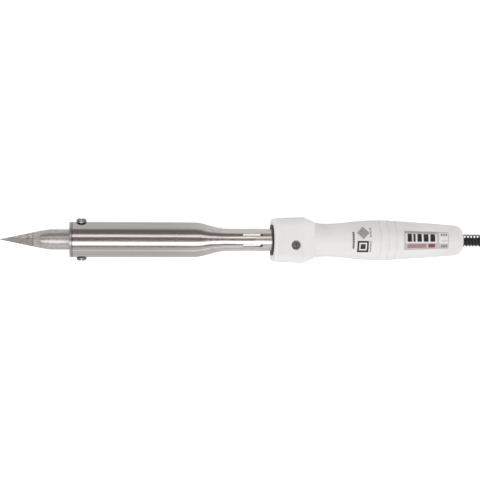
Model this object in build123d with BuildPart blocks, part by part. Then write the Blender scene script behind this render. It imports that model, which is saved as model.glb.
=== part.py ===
"""Heavy soldering iron with a replaceable copper bit, built as it comes apart on a bench.

The iron lies along X with its point at the -X end, +Z up, on the floor plane z = 0.
The origin is under the middle of the iron, measured from its point to the end of the cord guard.
Stations are distances along the iron from its point; place() turns a station into an X.
"""

import os
from math import cos, radians, sin, sqrt, tan

from build123d import *

os.makedirs("parts", exist_ok=True)

# ---------------------------------------------------------------- driving dimensions, in mm
# Bit
tip_diameter = 15.2
tip_cone_length = 36.0  # the point to the start of the cylinder
tip_cone_step = 0.2  # the cone ends this much smaller than the cylinder
tip_point_radius = 0.25
tip_bulge = 0.45  # how far the cone's side stands out of a straight line
tip_facet_length = 24.5  # the four ground faces, before they run out
tip_facet_slope = 8.4  # degrees between a ground face and the axis
tip_runout_radius = 16.0  # of the wheel that ground them
tip_shown = 51.5  # how far the bit stands out of the nose ring
tip_shank = 74.0  # how much of it is inside

# Barrel: a tube swaged down to a neck
barrel_diameter = 26.5
barrel_wall = 0.7
barrel_straight = 91.4
swage_length = 29.4
neck_diameter = 16.7
neck_shown = 31.0
neck_in_handle = 25.0
vent_count = 6
vent_length = 15.4
vent_width = 2.4
vent_setback = 7.6  # from the end of the swage to a vent
vent_turn = 28.0  # degrees from +Z to the first vent

# Nose ring and the two clamp screws through it
nose_flange = 1.7
nose_spigot = 13.0
nose_rounding = 1.1
clamp_setback = 7.1  # from the barrel's front edge to the screws
clamp_turn = 12.0  # degrees that the screws' line is turned from Y towards Z
clamp_screw_diameter = 4.0
clamp_head_diameter = 7.4
clamp_head_height = 2.2
clamp_washer_thickness = 0.6
clamp_washer_diameter = 7.6

# Heater
tube_wall = 0.8
sleeve_wall = 0.6
winding_wire = 1.0
winding_turns = 18
winding_end_gap = 1.0
heater_setback = 3.4  # from the heater's rear ring to the swage
spacer_thickness = 3.0
wrap_gap = 0.5  # between the wrap and the barrel
lead_wire = 1.0
bead_diameter = 3.2
bead_length = 11.5
bead_pitch = 12.0
bead_count = 5
bead_gap = 0.1  # between the two rows of beads

# Handle
handle_length = 148.2
collar_width = 35.3
collar_front_width = 33.2
collar_rear_width = 36.0
collar_length = 30.6
collar_corner = 6.6
collar_front_rounding = 2.6
collar_slope_length = 8.6  # the collar slopes in to the waist over this length
collar_slope_depth = 4.2
collar_rear_rounding = 2.5
waist_diameter = 25.4
waist_at = 40.8  # all of these are from the handle's front
grip_diameter = 31.4
grip_at = 87.4
mid_diameter = 29.2
mid_at = 64.0
shoulder_diameter = 27.6
shoulder_at = 115.8
tail_diameter = 22.3
tail_rounding = 5.2
groove_pitch = 6.3
groove_radius = 1.1
groove_depth = 0.45
groove_drops = (0.05, 0.0, 0.45)  # how much less than the widest the grip is at each groove
bush_wall = 3.5
bush_length = 8.2
bush_stand = 1.0  # how far it stands out of the handle
bush_rounding = 0.5
neck_sleeve_wall = 2.4
neck_sleeve_length = 20.0
cavity_diameter = 18.8
cavity_end_wall = 37.0  # solid handle behind the cavity
handle_screw_at = 15.9
handle_screw_offset = 3.8  # sideways from the middle of the collar's flat
handle_screw_diameter = 3.0
handle_screw_head = 5.7
handle_screw_head_height = 1.9
screw_recess_diameter = 7.3
screw_recess_depth = 2.8

# Terminals inside the handle
block_at = 48.0
block_length = 24.0
block_top = 4.5  # above the iron's axis
terminal_length = 20.0
terminal_size = 5.0
terminal_spacing = 8.0
terminal_screw_diameter = 2.5
terminal_head_diameter = 4.0
terminal_head_height = 1.5
clamp_block_at = 95.0
clamp_block_length = 8.0
clamp_bar_wall = 0.65  # over the cord
clamp_bar_width = 15.0
clamp_bar_gap = 0.6
bar_screw_gap = 0.45  # between the cord and a screw beside it
bar_head_diameter = 4.2

# Cord, guard spring and plug
cord_diameter = 5.9
cord_shift_y = -0.75  # the cord lies to one side in its bore and spring
cord_shift_z = -0.30
core_diameter = 2.2
conductor_diameter = 1.4
spring_wire = 0.9
spring_play = 1.9  # how much wider than the cord it is inside
spring_pitch = 2.55
spring_turns = 20
spring_seat = 12.0  # the length of spring inside the handle
hank_reach = 59.0  # half the hank's length
hank_lobe_radius = 22.5
hank_waist = 12.2
hank_height = 25.6
hank_shoulder_at = 26.0  # where the sides of the hank's lobes turn in to the tie
hank_shoulder = 19.9
tie_width = 9.0
tie_thickness = 0.8
tie_rounding = 1.5
plug_diameter = 25.0
plug_front = 12.0
plug_length = 28.0
plug_neck_diameter = 12.0
plug_rounding = 0.6
relief_length = 20.0
relief_wall = 0.75
pin_diameter = 4.0
pin_root_diameter = 3.2  # where it is moulded in
pin_length = 19.0
pin_spacing = 19.0

# Rating label, a foil sticker that narrows with the handle
label_at = 99.6
label_length = 35.4
label_front_width = 14.8
label_rear_width = 12.6
label_thickness = 0.15

# Clearances
slide_gap = 0.05  # radial, between a shaft and the hole it moves in
screw_bite_gap = 0.03  # between a clamp screw's end and the bit
seat_gap = 0.1  # radial, round the spring and the barrel's screw holes
seat_wall = 0.5  # left between the tube's seat and the clamp screws' holes

# ---------------------------------------------------------------- places worked out from them
barrel_front = tip_shown + nose_flange
swage_start = barrel_front + barrel_straight
swage_end = swage_start + swage_length
handle_front = swage_end + neck_shown
handle_rear = handle_front + handle_length
neck_rear = handle_front + neck_in_handle
spring_start = handle_rear - spring_seat
spring_diameter = cord_diameter + spring_play + 2 * spring_wire
spring_end = spring_start + spring_turns * spring_pitch + spring_wire
half_length = spring_end / 2
axis_z = collar_width / 2

tip_r = tip_diameter / 2
barrel_r = barrel_diameter / 2
barrel_bore_r = barrel_r - barrel_wall
neck_r = neck_diameter / 2
neck_bore_r = neck_r - barrel_wall
tip_bore_r = tip_r + slide_gap
tube_r = tip_bore_r + tube_wall
sleeve_r = tube_r + sleeve_wall
winding_r = sleeve_r + slide_gap + winding_wire / 2
lead_r = winding_r
wrap_bore_r = winding_r + winding_wire / 2 + slide_gap
bush_r = neck_r + bush_wall
neck_sleeve_r = neck_r + neck_sleeve_wall
cord_r = cord_diameter / 2
cord_bore_r = cord_r + abs(cord_shift_y) + 0.2
spring_seat_r = spring_diameter / 2 + seat_gap

nose_rear = barrel_front + nose_spigot
tube_seat = nose_spigot - clamp_setback - clamp_screw_diameter / 2 - seat_wall
clamp_station = barrel_front + clamp_setback
front_spacer_at = nose_rear + spacer_thickness
heater_front = front_spacer_at + spacer_thickness
heater_rear = swage_start - heater_setback - spacer_thickness
heater_length = heater_rear - heater_front
tube_rear = heater_rear + spacer_thickness
bush_front = handle_front - bush_stand
bush_end = bush_front + bush_length
cavity_front = bush_end + neck_sleeve_length
cavity_rear = handle_rear - cavity_end_wall
block_front = handle_front + block_at
block_rear = block_front + block_length
clamp_block_front = handle_front + clamp_block_at
label_front = handle_front + label_at


def place(station):
    """The X of a station along the iron."""
    return station - half_length


def section(station):
    """A plane across the iron at a station: its x is +Y, its y is +Z."""
    return Plane(origin=(place(station), 0, axis_z), x_dir=(0, 1, 0), z_dir=(1, 0, 0))


def side():
    """The plane of the iron's half outlines: x is a station, y is a radius."""
    return Plane(origin=(-half_length, 0, axis_z), x_dir=(1, 0, 0), z_dir=(0, -1, 0))


def outward(station, turn, offset=0.0):
    """A plane on the iron's axis that faces outwards, turned from +Z towards +Y by turn degrees."""
    facing = (0, sin(radians(turn)), cos(radians(turn)))
    across = (0, cos(radians(turn)), -sin(radians(turn)))
    spot = Vector(place(station), 0, axis_z) + Vector(*across) * offset
    return Plane(origin=spot, x_dir=(1, 0, 0), z_dir=facing)


iron_axis = Axis((0, 0, axis_z), (1, 0, 0))


def ring(station, length, inner_r, outer_r):
    """A plain ring round the iron's axis, from a station backwards."""
    with BuildPart() as made:
        with BuildSketch(section(station)):
            Circle(outer_r)
            if inner_r > 0:
                Circle(inner_r, mode=Mode.SUBTRACT)
        extrude(amount=length)
    return made.part


def pan_screw(seat, head_diameter, head_height, shank_diameter, shank_length):
    """A slotted pan-head screw; seat is the plane under its head, facing out."""
    head_r, shank_r = head_diameter / 2, shank_diameter / 2
    crown = 0.45 * head_height
    with BuildPart() as made:
        with BuildSketch(Plane(origin=seat.origin, x_dir=seat.x_dir, z_dir=seat.x_dir.cross(seat.z_dir))):
            with BuildLine():
                Polyline(
                    (0, head_height), (0, -shank_length), (shank_r - 0.3, -shank_length),
                    (shank_r, -shank_length + 0.3), (shank_r, 0), (head_r, 0),
                    (head_r, head_height - crown),
                )
                ThreePointArc(
                    (head_r, head_height - crown),
                    (0.72 * head_r, head_height - 0.32 * crown),
                    (0, head_height),
                )
            make_face()
        revolve(axis=Axis(seat.origin, seat.z_dir))
        with BuildSketch(seat.offset(head_height - 0.5 * crown - 0.25 * head_height)):
            Rectangle(0.16 * head_diameter, 2 * head_diameter)
        extrude(amount=head_height, mode=Mode.SUBTRACT)
    return made.part


def tube_along(points, diameter, radii):
    """A round solid along straight runs joined by tangent arcs."""
    with BuildPart() as made:
        with BuildLine():
            route = FilletPolyline(*points, radius=radii)
        with BuildSketch(Plane(origin=route @ 0, z_dir=route % 0)):
            Circle(diameter / 2)
        sweep(path=route)
    return made.part, route.length


def arc_radii(points):
    """For each corner, 0.45 of its shorter run over the tangent of half its turn."""
    radii = []
    for before, corner, after in zip(points, points[1:], points[2:]):
        run_in, run_out = Vector(*corner) - Vector(*before), Vector(*after) - Vector(*corner)
        half_turn = radians(run_in.get_angle(run_out)) / 2
        radii.append(0.45 * min(run_in.length, run_out.length) / tan(half_turn))
    return radii


# ---------------------------------------------------------------- the bit
# A copper bar with a cone turned on its end and four faces ground on the cone.
with BuildPart() as tip:
    with BuildSketch(side()):
        with BuildLine():
            bulge_r = tip_point_radius + 0.65 * (tip_r - tip_cone_step - tip_point_radius) + tip_bulge
            cone_side = Spline(
                (0, tip_point_radius), (0.65 * tip_cone_length, bulge_r),
                (tip_cone_length, tip_r - tip_cone_step),
            )
            Polyline(
                cone_side @ 1, (tip_cone_length, tip_r), (tip_shown + tip_shank - 1, tip_r),
                (tip_shown + tip_shank, tip_r - 1), (tip_shown + tip_shank, 0), (0, 0), cone_side @ 0,
            )
        make_face()
    revolve(axis=iron_axis)
    facet_end = tip_point_radius + tip_facet_length * tan(radians(tip_facet_slope))
    for quarter in range(4):
        face_side = outward(0, clamp_turn + 45 + 90 * quarter)
        ground = Plane(
            origin=face_side.origin, x_dir=(1, 0, 0), z_dir=Vector(1, 0, 0).cross(face_side.z_dir)
        )
        with BuildSketch(ground):
            with BuildLine():
                flat = Line((0, 0.8 * tip_point_radius), (tip_facet_length, facet_end))
                runout = JernArc(flat @ 1, flat % 1, tip_runout_radius, 60)
                Polyline(runout @ 1, (-1, 2 * tip_diameter), (-1, 0.8 * tip_point_radius), flat @ 0)
            make_face()
        extrude(amount=tip_r + 1, both=True, mode=Mode.SUBTRACT)
tip.part.label = "tip"
export_step(tip.part, "parts/tip.step")

# ---------------------------------------------------------------- the nose ring
# A turned steel ring in the barrel's mouth, with a threaded hole each side for the clamp screws.
with BuildPart() as nose_ring:
    with BuildSketch(side()):
        with BuildLine():
            Polyline(
                (tip_shown, tip_bore_r), (tip_shown, barrel_r), (barrel_front, barrel_r),
                (barrel_front, barrel_bore_r), (nose_rear, barrel_bore_r), (nose_rear, tube_r),
                (nose_rear - tube_seat, tube_r), (nose_rear - tube_seat, tip_bore_r), close=True,
            )
        make_face()
        rim = vertices().group_by(Axis.X)[0].sort_by(Axis.Z)[-1]
        fillet(rim, nose_rounding)
    revolve(axis=iron_axis)
    for turn in (90 - clamp_turn, 270 - clamp_turn):
        with BuildSketch(outward(clamp_station, turn)):
            Circle(clamp_screw_diameter / 2 + slide_gap)
        extrude(amount=barrel_r, mode=Mode.SUBTRACT)
nose_ring.part.label = "nose_ring"
export_step(nose_ring.part, "parts/nose_ring.step")

# ---------------------------------------------------------------- the barrel
# Stainless tube, swaged down to the neck, with screw holes in front and vents round the neck.
with BuildPart() as barrel:
    with BuildSketch(side()):
        with BuildLine():
            for wall in (0, barrel_wall):
                swage_drop = barrel_r - neck_r
                swage = Spline(
                    (swage_start, barrel_r - wall),
                    (swage_start + 0.43 * swage_length, neck_r + 0.5 * swage_drop - wall),
                    (swage_start + 0.8 * swage_length, neck_r + 0.04 * swage_drop - wall),
                    (swage_end, neck_r - wall),
                    tangents=((1, 0), (1, 0)),
                )
                Line((barrel_front, barrel_r - wall), swage @ 0)
                Line(swage @ 1, (neck_rear, neck_r - wall))
            Line((barrel_front, barrel_r), (barrel_front, barrel_bore_r))
            Line((neck_rear, neck_r), (neck_rear, neck_bore_r))
        make_face()
    revolve(axis=iron_axis)
    for turn in (90 - clamp_turn, 270 - clamp_turn):
        with BuildSketch(outward(clamp_station, turn)):
            Circle(clamp_screw_diameter / 2 + seat_gap)
        extrude(amount=barrel_diameter, mode=Mode.SUBTRACT)
    for vent in range(vent_count):
        turn = vent_turn + vent * 360 / vent_count
        with BuildSketch(outward(swage_end + vent_setback + vent_length / 2, turn)):
            SlotOverall(vent_length, vent_width)
        extrude(amount=neck_diameter, mode=Mode.SUBTRACT)
barrel.part.label = "barrel"
export_step(barrel.part, "parts/barrel.step")

# ---------------------------------------------------------------- the clamp screws
# Each bears on the bit through the nose ring; its washer lies on the barrel.
screw_seat_r = barrel_r + clamp_washer_thickness + 2 * screw_bite_gap
for name, turn in (("left", 90 - clamp_turn), ("right", 270 - clamp_turn)):
    washer_seat = outward(clamp_station, turn).offset(barrel_r + screw_bite_gap)
    with BuildPart() as clamp_washer:
        with BuildSketch(washer_seat):
            Circle(clamp_washer_diameter / 2)
            Circle(clamp_screw_diameter / 2 + slide_gap, mode=Mode.SUBTRACT)
        extrude(amount=clamp_washer_thickness)
    clamp_washer.part.label = f"clamp_washer_{name}"
    export_step(clamp_washer.part, f"parts/clamp_washer_{name}.step")

    with BuildPart() as clamp_screw:
        add(
            pan_screw(
                outward(clamp_station, turn).offset(screw_seat_r),
                clamp_head_diameter, clamp_head_height, clamp_screw_diameter,
                screw_seat_r - tip_r - screw_bite_gap,
            )
        )
    clamp_screw.part.label = f"clamp_screw_{name}"
    export_step(clamp_screw.part, f"parts/clamp_screw_{name}.step")

# ---------------------------------------------------------------- the heater
# The tube that holds the bit, with mica, the winding, a wrap and a ceramic ring at each end.
with BuildPart() as tip_tube:
    add(ring(nose_rear - tube_seat, tube_rear - nose_rear + tube_seat, tip_bore_r, tube_r))
tip_tube.part.label = "tip_tube"
export_step(tip_tube.part, "parts/tip_tube.step")

with BuildPart() as mica_sleeve:
    add(ring(heater_front, heater_length, tube_r, sleeve_r))
mica_sleeve.part.label = "mica_sleeve"
export_step(mica_sleeve.part, "parts/mica_sleeve.step")

winding_pitch = (heater_length - 2 * winding_end_gap) / winding_turns
with BuildPart() as heater_winding:
    with BuildLine():
        coil = Helix(
            winding_pitch, winding_turns * winding_pitch, winding_r,
            center=(place(heater_front + winding_end_gap), 0, axis_z), direction=(1, 0, 0),
        )
    with BuildSketch(Plane(origin=coil @ 0, z_dir=coil % 0)):
        Circle(winding_wire / 2)
    sweep(path=coil, is_frenet=True)
heater_winding.part.label = "heater_winding"
export_step(heater_winding.part, "parts/heater_winding.step")

with BuildPart() as heater_wrap:
    add(ring(heater_front, heater_length, wrap_bore_r, barrel_bore_r - wrap_gap))
heater_wrap.part.label = "heater_wrap"
export_step(heater_wrap.part, "parts/heater_wrap.step")

with BuildPart() as front_spacer:
    add(ring(front_spacer_at, spacer_thickness, tube_r, barrel_bore_r))
front_spacer.part.label = "front_spacer"
export_step(front_spacer.part, "parts/front_spacer.step")

with BuildPart() as rear_spacer:
    add(ring(heater_rear, spacer_thickness, tube_r, barrel_bore_r))
    with BuildSketch(section(heater_rear)):
        with Locations((lead_r, 0), (-lead_r, 0)):
            Circle(lead_wire / 2)
    extrude(amount=spacer_thickness, mode=Mode.SUBTRACT)
rear_spacer.part.label = "rear_spacer"
export_step(rear_spacer.part, "parts/rear_spacer.step")

# Two wires from the winding, through the rear ring and side by side down the neck, to the terminals.
lead_y = terminal_spacing / 2
neck_lead_y = (bead_diameter + bead_gap) / 2
lead_end = block_front + (block_length - terminal_length) / 2 + 6
with BuildPart() as heater_leads:
    for way in (1, -1):
        points = [
            (place(heater_rear - winding_wire / 2), way * lead_r, axis_z),
            (place(tube_rear + 4), way * lead_r, axis_z),
            (place(swage_end - 8), way * neck_lead_y, axis_z),
            (place(neck_rear + 2), way * neck_lead_y, axis_z),
            (place(block_front - 4), way * lead_y, axis_z),
            (place(lead_end), way * lead_y, axis_z),
        ]
        wire, _ = tube_along(points, lead_wire, 6)
        add(wire)
heater_leads.part.label = "heater_leads"
export_step(heater_leads.part, "parts/heater_leads.step")

with BuildPart() as lead_beads:
    for bead in range(bead_count):
        with BuildSketch(section(neck_rear + 1 - bead_pitch * (bead + 1))):
            with Locations((neck_lead_y, 0), (-neck_lead_y, 0)):
                Circle(bead_diameter / 2)
                Circle(lead_wire / 2, mode=Mode.SUBTRACT)
        extrude(amount=bead_length)
lead_beads.part.label = "lead_beads"
export_step(lead_beads.part, "parts/lead_beads.step")

# ---------------------------------------------------------------- where the neck meets the handle
with BuildPart() as neck_bush:
    add(ring(bush_front, bush_length, neck_r, bush_r))
    fillet(edges().group_by(Axis.X)[0].sort_by(SortBy.RADIUS)[-1], bush_rounding)
neck_bush.part.label = "neck_bush"
export_step(neck_bush.part, "parts/neck_bush.step")

handle_screw_turns = (0, 180)
with BuildPart() as neck_sleeve:
    add(ring(bush_end, neck_sleeve_length, neck_r, neck_sleeve_r))
    for turn in handle_screw_turns:
        with BuildSketch(outward(handle_front + handle_screw_at, turn, -handle_screw_offset)):
            Circle(handle_screw_diameter / 2)
        extrude(amount=2 * neck_sleeve_r, mode=Mode.SUBTRACT)
neck_sleeve.part.label = "neck_sleeve"
export_step(neck_sleeve.part, "parts/neck_sleeve.step")

# ---------------------------------------------------------------- the handle
# One white moulding: a rounded-square collar, a waist, a swelling with three grooves and a tail.
handle_start = handle_front + collar_length - 6
groove_spots = [
    (handle_front + grip_at + step * groove_pitch, grip_diameter / 2 - drop)
    for step, drop in zip((-1, 0, 1), groove_drops)
]
with BuildPart() as handle:
    with BuildSketch(Plane.XY):
        with BuildLine():
            Polyline(
                (place(handle_front), collar_front_width / 2),
                (place(handle_front + collar_length), collar_rear_width / 2),
                (place(handle_front + collar_length), -collar_rear_width / 2),
                (place(handle_front), -collar_front_width / 2), close=True,
            )
        make_face()
    extrude(amount=collar_width)
    flats = faces().sort_by(Axis.Z)
    long_edges = (flats[0].edges() + flats[-1].edges()).filter_by(
        lambda edge: abs(edge.center().Y) > collar_width / 4
    )
    fillet(long_edges, collar_corner)
    rear_face = faces().sort_by(Axis.X)[-1]
    chamfer(rear_face.edges(), collar_slope_depth, collar_slope_length, reference=rear_face)
    slope_rim = edges().filter_by(
        lambda edge: abs(edge.center().X - place(handle_front + collar_length - collar_slope_length)) < 0.3
    )
    fillet(slope_rim, collar_rear_rounding)
    fillet(faces().sort_by(Axis.X)[0].edges(), collar_front_rounding)
    with BuildSketch(side()):
        with BuildLine():
            outline = Spline(
                (handle_start, waist_diameter / 2 + 3.2),
                (handle_front + collar_length + 1.5, waist_diameter / 2 + 0.85),
                (handle_front + waist_at, waist_diameter / 2),
                (handle_front + mid_at, mid_diameter / 2),
                *groove_spots,
                (handle_front + shoulder_at, shoulder_diameter / 2),
                (handle_rear, tail_diameter / 2),
            )
            Polyline(outline @ 1, (handle_rear, 0), (handle_start, 0), outline @ 0)
        make_face()
        tail_corner = vertices().group_by(Axis.X)[-1].sort_by(Axis.Z)[-1]
        fillet(tail_corner, tail_rounding)
        for groove_x, groove_z in groove_spots:
            with Locations((groove_x, groove_z + groove_radius - groove_depth)):
                Circle(groove_radius, mode=Mode.SUBTRACT)
    revolve(axis=iron_axis)
    with BuildSketch(side()):
        with BuildLine():
            Polyline(
                (handle_front - 1, 0), (handle_front - 1, bush_r), (bush_end, bush_r),
                (bush_end, neck_sleeve_r), (cavity_front, neck_sleeve_r),
                (cavity_front, cavity_diameter / 2),
                (cavity_rear, cavity_diameter / 2), (cavity_rear + 4, cord_bore_r),
                (spring_start, cord_bore_r), (spring_start, spring_seat_r),
                (handle_rear + 1, spring_seat_r), (handle_rear + 1, 0), close=True,
            )
        make_face()
    revolve(axis=iron_axis, mode=Mode.SUBTRACT)
    for turn in handle_screw_turns:
        screw_line = outward(handle_front + handle_screw_at, turn, -handle_screw_offset)
        with BuildSketch(screw_line.offset(collar_width / 2 - screw_recess_depth)):
            Circle(screw_recess_diameter / 2)
        extrude(amount=2 * screw_recess_depth, mode=Mode.SUBTRACT)
        with BuildSketch(screw_line):
            Circle(handle_screw_diameter / 2 + seat_gap)
        extrude(amount=collar_width / 2, mode=Mode.SUBTRACT)
handle.part.label = "handle"
export_step(handle.part, "parts/handle.step")

with BuildPart() as handle_screws:
    for turn in handle_screw_turns:
        screw_line = outward(handle_front + handle_screw_at, turn, -handle_screw_offset)
        head_seat = collar_width / 2 - screw_recess_depth
        screw_side = handle_screw_offset - handle_screw_diameter / 2
        screw_end = sqrt(neck_r**2 - screw_side**2) + seat_gap
        add(
            pan_screw(
                screw_line.offset(head_seat), handle_screw_head, handle_screw_head_height,
                handle_screw_diameter, head_seat - screw_end,
            )
        )
handle_screws.part.label = "handle_screws"
export_step(handle_screws.part, "parts/handle_screws.step")

# ---------------------------------------------------------------- inside the handle
# A ceramic block with two brass terminals, and a clamp that holds the cord.
cavity_r = cavity_diameter / 2
slot_floor = -terminal_size / 2
with BuildPart() as terminal_block:
    add(ring(block_front, block_length, 0, cavity_r))
    with BuildSketch(section(block_front)):
        with Locations((0, block_top + cavity_r)):
            Rectangle(2 * cavity_diameter, cavity_diameter)
    extrude(amount=block_length, mode=Mode.SUBTRACT)
    with BuildSketch(section(block_front + (block_length - terminal_length) / 2)):
        with Locations((lead_y, slot_floor), (-lead_y, slot_floor)):
            Rectangle(terminal_size, cavity_diameter, align=(Align.CENTER, Align.MIN))
    extrude(amount=terminal_length, mode=Mode.SUBTRACT)
    with BuildSketch(section(block_front)):
        with Locations((lead_y, 0), (-lead_y, 0)):
            Circle(core_diameter / 2)
    extrude(amount=block_length, mode=Mode.SUBTRACT)
terminal_block.part.label = "terminal_block"
export_step(terminal_block.part, "parts/terminal_block.step")

terminal_front = block_front + (block_length - terminal_length) / 2
terminal_rear = terminal_front + terminal_length
terminal_screw_stations = (terminal_front + 4, terminal_rear - 4)
with BuildPart() as terminals:
    with BuildSketch(section(terminal_front)):
        with Locations((lead_y, 0), (-lead_y, 0)):
            Rectangle(terminal_size, terminal_size)
    extrude(amount=terminal_length)
    with BuildSketch(section(terminal_front)):
        with Locations((lead_y, 0), (-lead_y, 0)):
            Circle(lead_wire / 2)
    extrude(amount=6, mode=Mode.SUBTRACT)
    with BuildSketch(section(terminal_rear - 5)):
        with Locations((lead_y, 0), (-lead_y, 0)):
            Circle(conductor_diameter / 2)
    extrude(amount=5, mode=Mode.SUBTRACT)
    for station in terminal_screw_stations:
        for way in (1, -1):
            with BuildSketch(outward(station, 0, way * lead_y)):
                Circle(terminal_screw_diameter / 2)
            extrude(amount=terminal_size, mode=Mode.SUBTRACT)
terminals.part.label = "terminals"
export_step(terminals.part, "parts/terminals.step")

with BuildPart() as terminal_screws:
    for station in terminal_screw_stations:
        for way in (1, -1):
            add(
                pan_screw(
                    outward(station, 0, way * lead_y).offset(terminal_size / 2),
                    terminal_head_diameter, terminal_head_height, terminal_screw_diameter,
                    terminal_size / 2 - conductor_diameter / 2,
                )
            )
terminal_screws.part.label = "terminal_screws"
export_step(terminal_screws.part, "parts/terminal_screws.step")

cord_center = (cord_shift_y, cord_shift_z)
bar_bottom = cord_shift_z + clamp_bar_gap
bar_top = cord_shift_z + cord_r + clamp_bar_wall
bar_screw_y = cord_r + abs(cord_shift_y) + bar_screw_gap + terminal_screw_diameter / 2
bar_screw_ways = (bar_screw_y, -bar_screw_y)
with BuildPart() as clamp_base:
    add(ring(clamp_block_front, clamp_block_length, 0, cavity_r))
    with BuildSketch(section(clamp_block_front)):
        with Locations((0, cord_shift_z)):
            Rectangle(2 * cavity_diameter, cavity_diameter, align=(Align.CENTER, Align.MIN))
        with Locations(cord_center):
            Circle(cord_r)
    extrude(amount=clamp_block_length, mode=Mode.SUBTRACT)
    for way in bar_screw_ways:
        with BuildSketch(outward(clamp_block_front + clamp_block_length / 2, 180, -way)):
            Circle(terminal_screw_diameter / 2)
        extrude(amount=5, mode=Mode.SUBTRACT)
clamp_base.part.label = "clamp_base"
export_step(clamp_base.part, "parts/clamp_base.step")

with BuildPart() as clamp_bar:
    with BuildSketch(section(clamp_block_front)):
        with Locations((0, bar_bottom)):
            Rectangle(clamp_bar_width, bar_top - bar_bottom, align=(Align.CENTER, Align.MIN))
        with Locations(cord_center):
            Circle(cord_r, mode=Mode.SUBTRACT)
    extrude(amount=clamp_block_length)
    for way in bar_screw_ways:
        with BuildSketch(outward(clamp_block_front + clamp_block_length / 2, 0, way)):
            Circle(terminal_screw_diameter / 2)
        extrude(amount=cavity_r, mode=Mode.SUBTRACT)
clamp_bar.part.label = "clamp_bar"
export_step(clamp_bar.part, "parts/clamp_bar.step")

with BuildPart() as clamp_bar_screws:
    for way in bar_screw_ways:
        add(
            pan_screw(
                outward(clamp_block_front + clamp_block_length / 2, 0, way).offset(bar_top),
                bar_head_diameter, terminal_head_height, terminal_screw_diameter, bar_top + 4,
            )
        )
clamp_bar_screws.part.label = "clamp_bar_screws"
export_step(clamp_bar_screws.part, "parts/clamp_bar_screws.step")

jacket_front = clamp_block_front - 4
with BuildPart() as cord_end:
    with BuildSketch(section(jacket_front)):
        with Locations(cord_center):
            Circle(cord_r)
    extrude(amount=handle_rear - jacket_front)
cord_end.part.label = "cord_end"
export_step(cord_end.part, "parts/cord_end.step")

core_r = core_diameter / 2
with BuildPart() as cord_cores:
    for way in (1, -1):
        core_y = cord_shift_y + way * (core_r + 0.1)
        points = [
            (place(jacket_front), core_y, axis_z + cord_shift_z),
            (place(jacket_front - 4), core_y, axis_z + cord_shift_z),
            (place(block_rear + 5), way * lead_y, axis_z),
            (place(terminal_rear), way * lead_y, axis_z),
        ]
        core, _ = tube_along(points, core_diameter, 3)
        add(core)
    with BuildSketch(section(terminal_rear - 5)):
        with Locations((lead_y, 0), (-lead_y, 0)):
            Circle(conductor_diameter / 2)
    extrude(amount=5)
cord_cores.part.label = "cord_cores"
export_step(cord_cores.part, "parts/cord_cores.step")

# ---------------------------------------------------------------- cord guard and label
with BuildPart() as guard_spring:
    with BuildLine():
        guard_coil = Helix(
            spring_pitch, spring_turns * spring_pitch, (spring_diameter - spring_wire) / 2,
            center=(place(spring_start + spring_wire / 2), 0, axis_z), direction=(1, 0, 0),
        )
    with BuildSketch(Plane(origin=guard_coil @ 0, z_dir=guard_coil % 0)):
        Circle(spring_wire / 2)
    sweep(path=guard_coil, is_frenet=True)
guard_spring.part.label = "guard_spring"
export_step(guard_spring.part, "parts/guard_spring.step")

with BuildPart() as rating_label:
    with BuildSketch(side()):
        with BuildLine():
            over = outline.moved(Location((0, label_thickness, 0)))
            add(outline)
            add(over)
            Line(outline @ 0, over @ 0)
            Line(outline @ 1, over @ 1)
        make_face()
    revolve(axis=iron_axis)
    with BuildSketch(Plane.XY.offset(axis_z)):
        with BuildLine():
            Polyline(
                (place(label_front), label_front_width / 2),
                (place(label_front + label_length), label_rear_width / 2),
                (place(label_front + label_length), -label_rear_width / 2),
                (place(label_front), -label_front_width / 2), close=True,
            )
        make_face()
        fillet(vertices(), 0.8)
    extrude(amount=collar_width, mode=Mode.INTERSECT)
rating_label.part.label = "rating_label"
export_step(rating_label.part, "parts/rating_label.step")

# ---------------------------------------------------------------- the free cord
# Out of the handle through its guard, down to the floor, into a tied hank, and to the plug.
hank_front = spring_end + 53.0
hank_center = hank_front + hank_reach
hank_rear = hank_front + 2 * hank_reach
plug_axis_z = plug_diameter / 2 + 0.05
relief_front = hank_rear + 41.5
plug_rear = relief_front + relief_length

cord_points = [
    (place(handle_rear), cord_shift_y, axis_z + cord_shift_z),
    (place(handle_rear + 20), cord_shift_y, axis_z + cord_shift_z),
    (place(spring_end + 1), -0.60, axis_z - 0.45),
    (place(spring_end + 14), -0.45, 16.0),
    (place(spring_end + 27), -0.55, 10.9),
    (place(spring_end + 40), -1.00, 5.4),
    (place(hank_front + 0.4), -1.50, 3.0),
]
cord_radii = arc_radii(cord_points)
print("cord arc radii:", [round(r, 1) for r in cord_radii])
with BuildPart() as power_cord:
    cord_tube, cord_run = tube_along(cord_points, cord_diameter, cord_radii)
    add(cord_tube)
power_cord.part.label = "power_cord"
export_step(power_cord.part, "parts/power_cord.step")

with BuildPart() as cord_hank:
    with BuildSketch(Plane((place(hank_center), 0, 0))):
        with Locations((hank_reach - hank_lobe_radius, 0), (hank_lobe_radius - hank_reach, 0)):
            Circle(hank_lobe_radius)
        Polygon(
            (-hank_shoulder_at, hank_shoulder), (-tie_width / 2, hank_waist / 2),
            (tie_width / 2, hank_waist / 2), (hank_shoulder_at, hank_shoulder),
            (hank_shoulder_at, -hank_shoulder), (tie_width / 2, -hank_waist / 2),
            (-tie_width / 2, -hank_waist / 2), (-hank_shoulder_at, -hank_shoulder),
        )
    extrude(amount=hank_height)
    with BuildSketch(Plane((place(hank_center), 0, 0))):
        Rectangle(tie_width, hank_waist + 2)
    extrude(amount=tie_thickness, mode=Mode.SUBTRACT)
cord_hank.part.label = "cord_hank"
export_step(cord_hank.part, "parts/cord_hank.step")

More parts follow.
